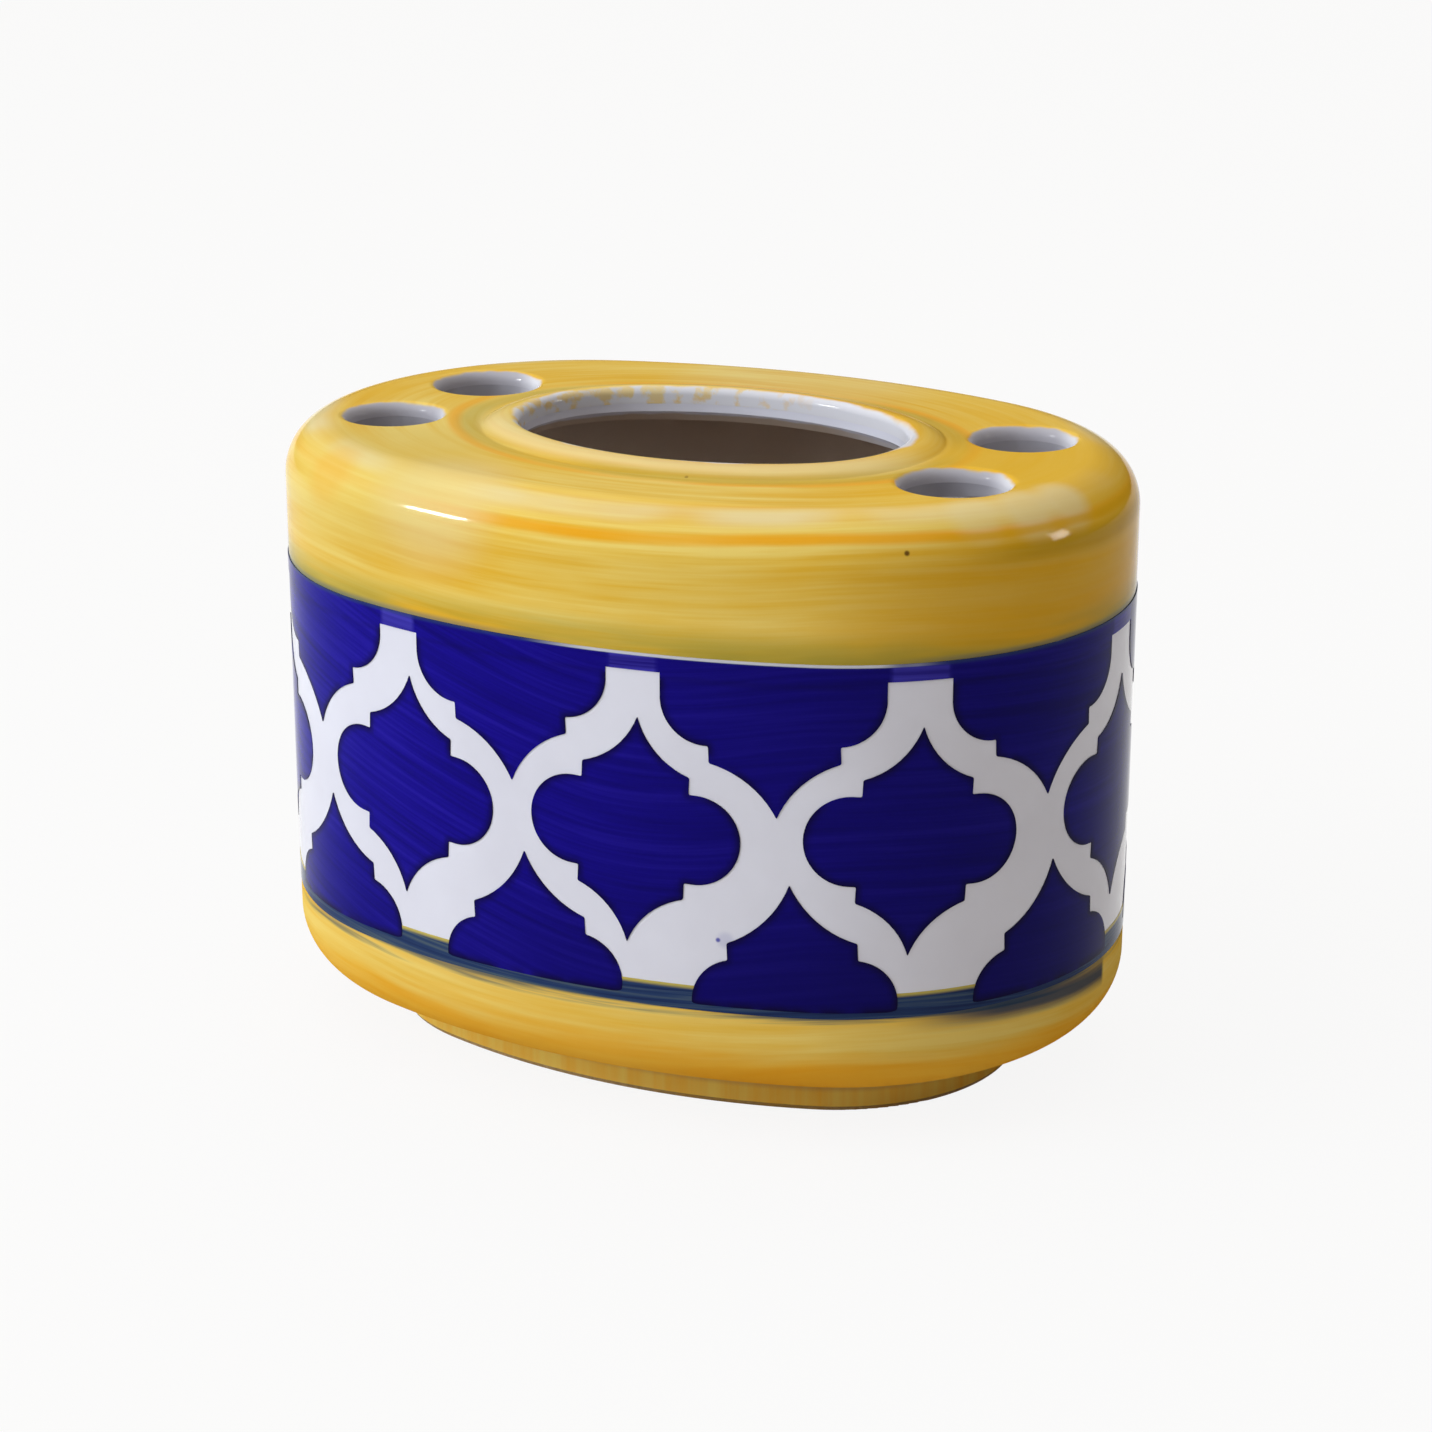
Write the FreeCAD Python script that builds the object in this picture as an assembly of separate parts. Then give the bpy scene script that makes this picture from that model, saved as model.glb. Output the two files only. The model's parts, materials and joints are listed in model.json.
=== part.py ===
import FreeCAD, Part
import math
import os
from FreeCAD import Vector

# Toothbrush holder of glazed earthenware, in millimetres.
# The origin is the middle of the foot's resting face, +Z is up, the long side runs along X
# and the front faces -Y. All outlines are ovals of four tangent arcs, so every wall, coat and
# fillet is a true parallel of the glazed outline.

# Glazed body, as measured over the fired surface.
body_length = 125.0
body_width = 90.4
body_end_tightness = 0.264
deck_height = 89.2
shoulder_radius = 7.4

# Clay walls and the coats fired on them.
wall_clay = 4.2
deck_clay = 3.3
floor_clay = 4.5
glaze = 0.35
paint = 0.12

# Heel, the turned-in lower edge, and the foot under it.
heel_radius = 9.0
heel_slope = 22.5
foot_inset = 14.5
foot_height = 4.2
foot_width = 6.0
foot_edge = 0.6
foot_bare = 0.9
foot_seat = 0.8

# Inside corners of the hollow.
floor_corner = 7.0
deck_corner = 3.0

# Stepped joints where the base, the wall and the deck are luted together.
lower_joint = 25.0
deck_skirt = 13.2
joint_step = 3.0

# Brush holes: the common size and spread, the deck left at each side of a hole, then the small
# errors of each hand-cut hole in its distance from the wall, its spread and its diameter.
hole_diameter = 14.4
hole_spread = 25.0
hole_edge = 1.5
shoulder_gap = 0.1
collar_gap = 3.5
hand_cut = {
    "front_right": (0.0, 0.1, 0.0),
    "back_right": (-0.4, 1.5, -0.8),
    "front_left": (-0.6, -1.0, -1.2),
    "back_left": (1.6, -0.9, 0.2),
}

# Mouth for the toothpaste tube, with its raised collar. Its length is what the holes leave.
side_deck = 24.7
mouth_end_tightness = 0.52
mouth_shift_x = 1.8
mouth_shift_y = -1.6
collar_width = 5.6
collar_height = 1.3
collar_lip = 1.2
collar_seat = 0.8
mouth_edge = 2.2

# Painted bands: the lower yellow from the floor up, the upper yellow from the deck down, and
# the blue lines that close the white band between them.
lower_band = 20.4
upper_band = 19.1
top_line = 2.4
bottom_line = 3.5
cell_foot = 1.1

# Trellis cells: sideways sizes as shares of their pitch, heights as shares of the white band.
cell_count = 9
cell_phase = 0.293
lobe_share = 0.1634
tip_hollow_share = 0.03
middle_notch = 0.197
middle_gap = 0.22
edge_notch = 0.228
upper_gap = 0.218
lower_gap = 0.275
lower_shift = 0.052
cell_half_share = 0.326
step_share = 0.047
upper_cusp = 0.07
lower_cusp = 0.11
middle_lean = 2.5

# Oversize for cutting tools, never a size of the object.
reach = 10.0


class Oval:
    """An oval of two end arcs and two flank arcs, tangent where they meet."""

    def __init__(self, half_length, half_width, radius, centre):
        self.half_length = half_length
        self.half_width = half_width
        self.radius = radius
        self.centre = centre

    def grown(self, distance):
        """The parallel oval, outside this one where distance is positive."""
        return Oval(
            self.half_length + distance,
            self.half_width + distance,
            self.radius + distance,
            self.centre,
        )

    def arcs(self):
        """Centre, radius, start angle and turn of the front, right, back and left arcs."""
        x, y = self.centre
        run = self.half_length - self.radius
        rise = self.half_width - self.radius
        flank = (run**2 + self.half_width**2 - self.radius**2) / (2 * rise)
        drop = flank - self.half_width
        half_turn = math.atan2(abs(run), abs(drop))
        quarter = math.pi / 2
        end_turn = math.pi - 2 * half_turn
        return [
            (Vector(x, y + drop, 0), flank, -quarter - half_turn, 2 * half_turn),
            (Vector(x + run, y, 0), self.radius, -quarter + half_turn, end_turn),
            (Vector(x, y - drop, 0), flank, quarter - half_turn, 2 * half_turn),
            (Vector(x - run, y, 0), self.radius, quarter + half_turn, end_turn),
        ]

    def perimeter(self):
        return sum(radius * turn for _, radius, _, turn in self.arcs())

    def place(self, distance):
        """Point and outward angle at a distance along the outline from the front's middle."""
        arcs = self.arcs()
        _, flank, _, front_turn = arcs[0]
        run = (distance + flank * front_turn / 2) % self.perimeter()
        for centre, radius, start, turn in arcs:
            if run <= radius * turn:
                break
            run -= radius * turn
        angle = start + run / radius
        return centre + polar(radius, angle), angle

    def prism(self, bottom, top):
        """A solid of this outline between two heights."""
        edges = []
        for centre, radius, start, turn in self.arcs():
            ends = [centre + polar(radius, start + turn * share) for share in (0, 0.5, 1)]
            edges.append(Part.Arc(*ends).toShape())
        face = Part.Face(Part.Wire(edges))
        face.translate(Vector(0, 0, bottom))
        return face.extrude(Vector(0, 0, top - bottom))

    def ring(self, profile):
        """A section, drawn as offset from the outline and height, swept once around it."""
        sectors = []
        for centre, radius, start, turn in self.arcs():
            face = Part.Face(section_wire(profile, radius))
            sector = face.revolve(Vector(0, 0, 0), Vector(0, 0, 1), math.degrees(turn))
            sector.rotate(Vector(0, 0, 0), Vector(0, 0, 1), math.degrees(start))
            sector.translate(centre)
            sectors.append(sector)
        return sectors[0].multiFuse(sectors[1:]).removeSplitter()


def polar(radius, angle):
    return Vector(radius * math.cos(angle), radius * math.sin(angle), 0)


def section_wire(profile, radius):
    """Closed wire in the XZ plane. A step is a point, or an arc's middle and end points."""
    def at(point):
        return Vector(radius + point[0], 0, point[1])

    edges = []
    last = profile[0]
    for step in profile[1:] + profile[:1]:
        if isinstance(step[0], tuple):
            middle, step = step
            edges.append(Part.Arc(at(last), at(middle), at(step)).toShape())
        else:
            edges.append(Part.LineSegment(at(last), at(step)).toShape())
        last = step
    return Part.Wire(edges)


def arc_step(centre, radius, middle_angle, end):
    """An arc that ends at a point and passes through the given angle, in degrees."""
    angle = math.radians(middle_angle)
    middle = (centre[0] + radius * math.cos(angle), centre[1] + radius * math.sin(angle))
    return middle, end


def edges_at(shape, height):
    return [
        edge
        for edge in shape.Edges
        if abs(edge.BoundBox.ZMin - height) < 1e-6 and abs(edge.BoundBox.ZMax - height) < 1e-6
    ]


def rounded_block(outline, bottom, top, top_radius, bottom_radius=0.0):
    """An oval block with rounded upper and, if asked, lower edges."""
    block = outline.prism(bottom, top)
    block = block.makeFillet(top_radius, edges_at(block, top))
    if bottom_radius:
        block = block.makeFillet(bottom_radius, edges_at(block, bottom))
    return block


def tightened_oval(length, width, tightness, centre):
    """An oval whose end arcs are tighter than a circle by a share of its slenderness."""
    radius = width / 2 * (1 - tightness * (1 - width / length))
    return Oval(length / 2, width / 2, radius, centre)


body = tightened_oval(body_length, body_width, body_end_tightness, (0.0, 0.0))

# The deck at each end holds the shoulder, a brush hole with its edges, and the collar.
hole_inset = shoulder_radius + shoulder_gap + hole_edge + hole_diameter / 2
end_deck = hole_inset + hole_diameter / 2 + hole_edge + collar_gap + collar_width
mouth = tightened_oval(
    body_length - 2 * end_deck,
    body_width - 2 * side_deck,
    mouth_end_tightness,
    (mouth_shift_x, mouth_shift_y),
)

# Heights and depths that follow from the driving sizes.
slope = math.radians(heel_slope)
heel_centre_z = (
    foot_height
    + (foot_inset - heel_radius + heel_radius * math.sin(slope)) * math.tan(slope)
    + heel_radius * math.cos(slope)
)
underside = foot_height + glaze * (1 - math.sin(slope)) / math.cos(slope)
floor_top = underside + floor_clay
deck_under = deck_height - glaze - deck_clay
upper_joint = deck_height - deck_skirt
band_bottom = lower_band
band_top = deck_height - upper_band
inner_wall = -(glaze + wall_clay)
collar_outer_radius = ((collar_width - collar_lip) ** 2 + collar_height**2) / (2 * collar_height)
collar_crest = deck_height + collar_height
lip_start = collar_crest - collar_lip
cell_pitch = body.perimeter() / cell_count
band_height = band_top - band_bottom
cell_half_height = band_height * cell_half_share


def heel_path(depth):
    """The heel's outer line, at a depth under the glazed surface, from the wall to the foot."""
    centre = (-heel_radius, heel_centre_z)
    radius = heel_radius - depth
    leave = (
        centre[0] + radius * math.sin(slope),
        centre[1] - radius * math.cos(slope),
    )
    crease = (-foot_inset - depth, foot_height + depth * (underside - foot_height) / glaze)
    return [(-depth, heel_centre_z), arc_step(centre, radius, (heel_slope - 90) / 2, leave), crease]


def outer_form(depth):
    """The body as a filled form, at a depth under the glazed surface, without its foot."""
    upper = rounded_block(
        body.grown(-depth), heel_centre_z, deck_height - depth, shoulder_radius - depth
    )
    path = heel_path(depth)
    crease = path[-1]
    heel = body.ring(path + [(crease[0], heel_centre_z)])
    middle = body.grown(crease[0]).prism(crease[1], heel_centre_z)
    return upper.multiFuse([heel, middle]).removeSplitter()


def hollow(coat):
    """The space inside, with a coat of this thickness on the clay."""
    return rounded_block(
        body.grown(inner_wall - coat),
        floor_top + coat,
        deck_under - coat,
        deck_corner - coat,
        floor_corner - coat,
    )


def brush_holes():
    """Centre and radius of each hole, glazed."""
    holes = []
    for name, (inset_error, spread_error, diameter_error) in hand_cut.items():
        side_x = 1 if name.endswith("right") else -1
        side_y = -1 if name.startswith("front") else 1
        from_end_centre = body.radius - hole_inset - inset_error
        y = hole_spread / 2 + spread_error
        x = body.half_length - body.radius + math.sqrt(from_end_centre**2 - y**2)
        holes.append((Vector(side_x * x, side_y * y, 0), (hole_diameter + diameter_error) / 2))
    return holes


def hole_cutter(radius):
    """What is cut from the clay for a brush hole: a bore with a rounded upper edge."""
    bore = radius + glaze
    flare = radius + hole_edge
    turn_centre = (flare, deck_height - hole_edge)
    profile = [
        (0.0, deck_under - reach),
        (bore, deck_under - reach),
        (bore, turn_centre[1]),
        arc_step(turn_centre, hole_edge - glaze, 135, (flare, deck_height - glaze)),
        (flare, deck_height + reach),
        (0.0, deck_height + reach),
    ]
    return Part.Face(section_wire(profile, 0.0)).revolve(Vector(0, 0, 0), Vector(0, 0, 1), 360)


def hole_lip(radius):
    """The coat that goes over a brush hole's rounded edge."""
    flare = radius + hole_edge
    turn_centre = (flare, deck_height - hole_edge)
    profile = [
        (radius, turn_centre[1]),
        arc_step(turn_centre, hole_edge, 135, (flare, deck_height)),
        (flare, deck_height - glaze),
        arc_step(turn_centre, hole_edge - glaze, 135, (radius + glaze, turn_centre[1])),
    ]
    return Part.Face(section_wire(profile, 0.0)).revolve(Vector(0, 0, 0), Vector(0, 0, 1), 360)


def below_joint(height):
    """Everything under a stepped joint, whose inner half stands higher."""
    outer = body.grown(reach).prism(-reach, height)
    inner = body.grown(inner_wall + wall_clay / 2).prism(height, height + joint_step)
    return outer.fuse(inner)


def collar_path(depth):
    """The collar's upper line, at a depth under the glaze, from its lip to the deck."""
    lip_centre = (collar_lip, lip_start)
    outer_centre = (collar_lip, collar_crest - collar_outer_radius)
    outer = collar_outer_radius - depth
    fall = collar_outer_radius - collar_height - depth
    foot = (collar_lip + math.sqrt(outer**2 - fall**2), deck_height - depth)
    foot_angle = math.degrees(math.atan2(fall, foot[0] - collar_lip))
    return [
        (depth, lip_start),
        arc_step(lip_centre, collar_lip - depth, 135, (collar_lip, collar_crest - depth)),
        arc_step(outer_centre, outer, (90 + foot_angle) / 2, foot),
    ]


def collar_seat_ring():
    """The bedded part of the collar, below the deck's surface."""
    bed = deck_height - glaze - collar_seat
    outside = collar_path(glaze)[-1][1][0]
    return mouth.ring([
        (glaze, bed),
        (outside, bed),
        (outside, deck_height - glaze),
        (glaze, deck_height - glaze),
    ])


def mouth_undercut(coat):
    """What is cut away under the mouth, so that its edge is thinner than the deck."""
    start = glaze - coat
    top = deck_height - mouth_edge - coat * (math.sqrt(2) - 1)
    bottom = deck_under - reach
    return mouth.ring([
        (start - glaze, top),
        (start, top),
        (start + top - bottom, bottom),
        (start - glaze, bottom),
    ])


def foot_ring():
    """The oval foot, bedded into the underside of the base, with softened lower edges."""
    outside = -foot_inset - glaze
    inside = outside - foot_width
    top = underside + foot_seat
    corner_in = (inside + foot_edge, foot_edge)
    corner_out = (outside - foot_edge, foot_edge)
    return body.ring([
        (inside, top),
        (inside, foot_edge),
        arc_step(corner_in, foot_edge, 225, (inside + foot_edge, 0.0)),
        (outside - foot_edge, 0.0),
        arc_step(corner_out, foot_edge, 315, (outside, foot_edge)),
        (outside, top),
    ])


def clay_parts():
    """The five clay pieces that are luted together before firing."""
    clay = outer_form(glaze).cut(hollow(0.0))
    cutters = [
        mouth.grown(glaze).prism(deck_under - reach, deck_height + reach),
        mouth_undercut(0.0),
    ]
    for centre, radius in brush_holes():
        cutter = hole_cutter(radius)
        cutter.translate(centre)
        cutters.append(cutter)
    foot = foot_ring()
    seat = collar_seat_ring()
    clay = clay.cut(cutters + [foot, seat])
    under_lower = below_joint(lower_joint)
    under_upper = below_joint(upper_joint)
    base = clay.common(under_lower)
    wall = clay.common(under_upper).cut(under_lower)
    deck = clay.cut(under_upper)
    path = collar_path(glaze)
    bead = mouth.ring([(glaze, deck_height - glaze)] + path)
    collar = seat.fuse(bead).removeSplitter()
    return {
        "foot_ring": foot,
        "base_bowl": base,
        "wall_band": wall,
        "top_deck": deck,
        "mouth_collar": collar,
    }


def liner_coat():
    """White glaze on the inside, up through the brush holes and the mouth."""
    bores = []
    throats = []
    for centre, radius in brush_holes():
        bore = Part.makeCylinder(radius + glaze, deck_height - hole_edge - deck_under)
        bore.translate(centre + Vector(0, 0, deck_under))
        bores.append(bore)
        throat = Part.makeCylinder(radius, 2 * reach)
        throat.translate(centre + Vector(0, 0, deck_under - reach))
        throats.append(throat)
    bores.append(mouth.grown(glaze).prism(deck_under, lip_start))
    bores.append(mouth_undercut(0.0))
    throats.append(mouth.prism(deck_under - reach, lip_start + reach))
    throats.append(mouth_undercut(glaze))
    return hollow(0.0).multiFuse(bores).cut([hollow(glaze)] + throats)


def shoulder_coat():
    """Yellow glaze over the deck, the collar, the shoulder and the top of the wall."""
    outside = rounded_block(body, band_top, deck_height, shoulder_radius)
    inside = rounded_block(
        body.grown(-glaze), band_top, deck_height - glaze, shoulder_radius - glaze
    )
    openings = [mouth.grown(collar_width).prism(deck_height - reach, deck_height + reach)]
    lips = []
    for centre, radius in brush_holes():
        opening = Part.makeCylinder(radius + hole_edge, 2 * reach)
        opening.translate(centre + Vector(0, 0, deck_height - reach))
        openings.append(opening)
        lip = hole_lip(radius)
        lip.translate(centre)
        lips.append(lip)
    clay_line = collar_path(glaze)
    bead_back = [
        clay_line[2][1],
        (clay_line[2][0], clay_line[1][1]),
        (clay_line[1][0], clay_line[0]),
    ]
    bead = mouth.ring(collar_path(0.0) + [(collar_width, deck_height - glaze)] + bead_back)
    return outside.cut([inside] + openings).multiFuse(lips + [bead]).removeSplitter()


def base_coat():
    """Yellow glaze from the lower line down over the heel to the foot's bare edge."""
    outer = heel_path(0.0)
    inner = heel_path(glaze)
    outer_crease = outer[-1]
    inner_crease = inner[-1]
    return body.ring(
        [(0.0, band_bottom)]
        + outer
        + [(outer_crease[0], foot_bare), (inner_crease[0], foot_bare), inner_crease]
        + [inner[1][1], (inner[1][0], inner[0]), (-glaze, band_bottom)]
    )


def wall_film(start, thickness, bottom, top):
    """A film on the upright wall, from one offset outwards, between two heights."""
    return body.ring([
        (start, bottom),
        (start + thickness, bottom),
        (start + thickness, top),
        (start, top),
    ])


def cell_outline(gap_share, notch_share):
    """One stencil cell: pointed above and below, a stepped shoulder, a round lobe each side."""
    half_width = cell_pitch * (1 - gap_share) / 2
    notch = cell_pitch * notch_share
    lobe_radius = cell_pitch * lobe_share
    tip_hollow = cell_pitch * tip_hollow_share
    shoulder = (notch, lobe_radius + band_height * step_share)
    lobe = half_width - lobe_radius
    chord = math.hypot(notch, cell_half_height - shoulder[1])
    tip_bend = (
        notch / 2 - tip_hollow * (cell_half_height - shoulder[1]) / chord,
        (cell_half_height + shoulder[1]) / 2 - tip_hollow * notch / chord,
    )
    diagonal = lobe_radius * math.sqrt(0.5)

    def at(point, side_x, side_y):
        return Vector(side_x * point[0], side_y * point[1], 0)

    edges = []
    for side_x, side_y in ((1, 1), (1, -1), (-1, -1), (-1, 1)):
        tip = at((0.0, cell_half_height), side_x, side_y)
        corner = at(shoulder, side_x, side_y)
        step = at((notch, lobe_radius), side_x, side_y)
        lobe_top = at((lobe, lobe_radius), side_x, side_y)
        lobe_bend = at((lobe + diagonal, diagonal), side_x, side_y)
        lobe_end = at((half_width, 0.0), side_x, side_y)
        edges.append(Part.Arc(tip, at(tip_bend, side_x, side_y), corner).toShape())
        edges.append(Part.LineSegment(corner, step).toShape())
        edges.append(Part.LineSegment(step, lobe_top).toShape())
        edges.append(Part.Arc(lobe_top, lobe_bend, lobe_end).toShape())
    return Part.Face(Part.Wire(Part.__sortEdges__(edges)))


def cell_row(film, outline, start, height, lean=0.0):
    """One film for each cell of a row: the stencil pushed through the film all round."""
    cells = []
    for index in range(cell_count):
        point, angle = body.place((start + index) * cell_pitch)
        cutter = outline.extrude(Vector(0, 0, 2 * reach))
        cutter.translate(Vector(0, 0, -reach))
        cutter.rotate(Vector(0, 0, 0), Vector(0, 0, 1), -lean)
        cutter.rotate(Vector(0, 0, 0), Vector(1, 0, 0), 90)
        cutter.rotate(Vector(0, 0, 0), Vector(0, 0, 1), math.degrees(angle) + 90)
        cutter.translate(point + Vector(0, 0, height))
        cells += film.common(cutter).Solids
    return Part.Compound(cells)


def painted_coats():
    """The glaze coats and the blue painting on the white band."""
    line_low = band_top - top_line
    line_high = band_bottom + bottom_line
    field = wall_film(0.0, paint, band_bottom + cell_foot, line_low)
    middle_height = (band_bottom + band_top) / 2
    middle_cells = cell_row(
        field, cell_outline(middle_gap, middle_notch), cell_phase, middle_height, middle_lean
    )
    upper_cells = cell_row(
        field,
        cell_outline(upper_gap, edge_notch),
        cell_phase + 0.5,
        middle_height + band_height * upper_cusp + cell_half_height,
    )
    lower_cells = cell_row(
        field,
        cell_outline(lower_gap, edge_notch),
        cell_phase + 0.5 + lower_shift,
        middle_height - band_height * lower_cusp - cell_half_height,
    )
    return {
        "white_liner_glaze": liner_coat(),
        "yellow_shoulder_glaze": shoulder_coat(),
        "white_band_glaze": wall_film(-glaze, glaze, band_bottom, band_top),
        "yellow_base_glaze": base_coat(),
        "blue_middle_cells": middle_cells,
        "blue_upper_cells": upper_cells,
        "blue_lower_cells": lower_cells,
        "blue_top_line": wall_film(0.0, paint, line_low, band_top),
        "blue_bottom_line": wall_film(0.0, paint, band_bottom, line_high).cut(lower_cells),
    }


os.makedirs("parts", exist_ok=True)
nodes = clay_parts()
nodes.update(painted_coats())
for node, shape in nodes.items():
    shape.exportStep(f"parts/{node}.step")
    print(node, len(shape.Solids), "solids", round(shape.Volume, 1), "mm3", shape.isValid())
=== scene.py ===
import json
import math

import bmesh
import bpy
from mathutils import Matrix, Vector
from mathutils.kdtree import KDTree

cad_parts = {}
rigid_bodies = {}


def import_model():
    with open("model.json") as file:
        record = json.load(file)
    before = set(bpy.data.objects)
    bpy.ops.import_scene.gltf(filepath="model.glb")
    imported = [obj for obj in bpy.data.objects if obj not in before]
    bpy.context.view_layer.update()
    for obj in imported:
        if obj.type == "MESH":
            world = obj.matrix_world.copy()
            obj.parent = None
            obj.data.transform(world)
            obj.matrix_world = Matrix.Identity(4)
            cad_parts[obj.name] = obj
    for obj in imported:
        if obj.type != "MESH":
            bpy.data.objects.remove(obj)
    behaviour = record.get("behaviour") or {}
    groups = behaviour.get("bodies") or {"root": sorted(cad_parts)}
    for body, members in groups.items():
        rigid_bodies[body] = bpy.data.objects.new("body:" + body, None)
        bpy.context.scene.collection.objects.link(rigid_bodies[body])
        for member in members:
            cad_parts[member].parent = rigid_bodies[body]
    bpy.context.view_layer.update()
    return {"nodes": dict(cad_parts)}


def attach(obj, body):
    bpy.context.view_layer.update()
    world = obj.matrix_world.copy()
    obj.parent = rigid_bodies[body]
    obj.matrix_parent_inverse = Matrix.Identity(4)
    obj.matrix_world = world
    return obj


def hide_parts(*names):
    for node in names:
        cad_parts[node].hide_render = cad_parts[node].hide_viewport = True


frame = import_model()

bpy.ops.object.select_all(action="DESELECT")


# Clay body: foot, base, wall, deck and collar, luted together with slip before one firing.
# It is buff earthenware, covered by glaze except under the base and on the foot's resting edge.
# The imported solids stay, and take the fired clay's material.
def put(tree, kind, inputs=None, **settings):
    """Adds a shader node; an input is a value or the output that feeds it."""
    made = tree.nodes.new(kind)
    for name, value in settings.items():
        setattr(made, name, value)
    for name, value in (inputs or {}).items():
        if isinstance(value, bpy.types.NodeSocket):
            tree.links.new(value, made.inputs[name])
        else:
            made.inputs[name].default_value = value
    return made


def reckon(tree, operation, first, second=0.0, clamp=False):
    return put(tree, "ShaderNodeMath", {0: first, 1: second}, operation=operation, use_clamp=clamp).outputs[0]


def times(tree, first, *others):
    """Masks or values multiplied with each other."""
    for other in others:
        first = reckon(tree, "MULTIPLY", first, other)
    return first


def fade(tree, value, none_at, full_at):
    """A mask that rises softly from one value to another."""
    ranged = {"Value": value, "From Min": none_at, "From Max": full_at}
    return put(tree, "ShaderNodeMapRange", ranged, interpolation_type="SMOOTHSTEP").outputs[0]


def cloud(tree, vector, scale, detail=2.0, roughness=0.5):
    shape = {"Vector": vector, "Scale": scale, "Detail": detail, "Roughness": roughness}
    return put(tree, "ShaderNodeTexNoise", shape).outputs["Fac"]


def tint(tree, share, under, over, strength=None):
    """Lays one colour over another where the mask is, thinner if a strength is given."""
    laid = {0: share if strength is None else times(tree, share, strength)}
    for slot, colour in ((6, under), (7, over)):
        laid[slot] = colour if isinstance(colour, bpy.types.NodeSocket) else (*colour, 1.0)
    return put(tree, "ShaderNodeMix", laid, data_type="RGBA").outputs[2]


def shades(tree, value, *stops):
    """A colour scale; a stop is a place and a colour."""
    scale = put(tree, "ShaderNodeValToRGB", {"Fac": value})
    stones = scale.color_ramp.elements
    while len(stones) < len(stops):
        stones.new(0.5)
    for stone, (place, colour) in zip(stones, stops):
        stone.position = place
        stone.color = (*colour, 1.0)
    return scale.outputs["Color"]


def new_finish(name, roughness, specular):
    """A material with its shader's constant values, and its object coordinates."""
    finish = bpy.data.materials.new(name)
    finish.use_nodes = True
    tree = finish.node_tree
    shader = tree.nodes["Principled BSDF"]
    shader.inputs["Roughness"].default_value = roughness
    shader.inputs["Specular IOR Level"].default_value = specular
    return finish, tree, shader, put(tree, "ShaderNodeTexCoord").outputs["Object"]


def wear(piece, finish):
    piece.data.materials.clear()
    piece.data.materials.append(finish)


buff, tan, iron = (0.42, 0.26, 0.10), (0.60, 0.42, 0.20), (0.50, 0.30, 0.09)
bisque, tree, shader, where = new_finish("bisque", roughness=0.75, specular=0.2)
grit = cloud(tree, where, 1800.0, 4.0, 0.7)
stain = cloud(tree, where, 90.0, 3.0)
clay = shades(tree, grit, (0.3, buff), (0.7, tan))
clay = tint(tree, fade(tree, stain, 0.45, 0.7), clay, iron)
tree.links.new(clay, shader.inputs["Base Color"])
grain = put(tree, "ShaderNodeBump", {"Height": grit, "Strength": 0.25, "Distance": 0.0002})
tree.links.new(grain.outputs["Normal"], shader.inputs["Normal"])
for clay_node in ("foot_ring", "base_bowl", "wall_band", "top_deck", "mouth_collar"):
    frame["nodes"][clay_node].material_slots[0].material = bisque


# White liner: the glaze poured inside, which also coats the throat of the mouth and the hole walls.
# It is white tin glaze about a third of a millimetre thick, drawn as one section swept round the wall,
# with the sleeves of the mouth and the holes joined to its ceiling.
mm = 0.001  # lengths are given in millimetres
body_half_length = 62.5
body_half_width = 45.2
body_end_radius = 41.9
deck_height = 89.2
coat = 0.3
mouth_half_length = 28.5
mouth_half_width = 20.5
mouth_end_radius = 17.5
mouth_middle = (1.8, -1.6)
brush_holes = [(43.0, -12.6, 7.2), (42.63, 14.0, 6.8), (-44.25, -11.5, 6.6), (-41.72, 11.6, 7.3)]
lip_tuck = 0.04
wall_spacing = 1.5
mouth_spacing = 1.2
hole_spacing = 0.8
seam_slack = 0.002
level_slack = 0.1
smooth_below = 40


def oval_turns(half_length, half_width, end_radius, middle=(0.0, 0.0)):
    """Centre, radius and turn of the arcs that lead once round an oval from its front middle."""
    run = half_length - end_radius
    flank = (run**2 + half_width**2 - end_radius**2) / (2 * (half_width - end_radius))
    drop = flank - half_width
    turn = math.atan2(run, drop)
    x, y = middle
    return [
        ((x, y + drop), flank, turn),
        ((x + run, y), end_radius, math.pi - 2 * turn),
        ((x, y - drop), flank, 2 * turn),
        ((x - run, y), end_radius, math.pi - 2 * turn),
        ((x, y + drop), flank, turn),
    ]


def new_piece(name):
    """An empty mesh, open for editing."""
    bpy.ops.object.select_all(action="DESELECT")
    bpy.ops.mesh.primitive_plane_add(size=mm)
    piece = bpy.context.object
    piece.name = name
    bpy.ops.object.mode_set(mode="EDIT")
    bpy.ops.mesh.delete(type="VERT")
    return piece


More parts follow.
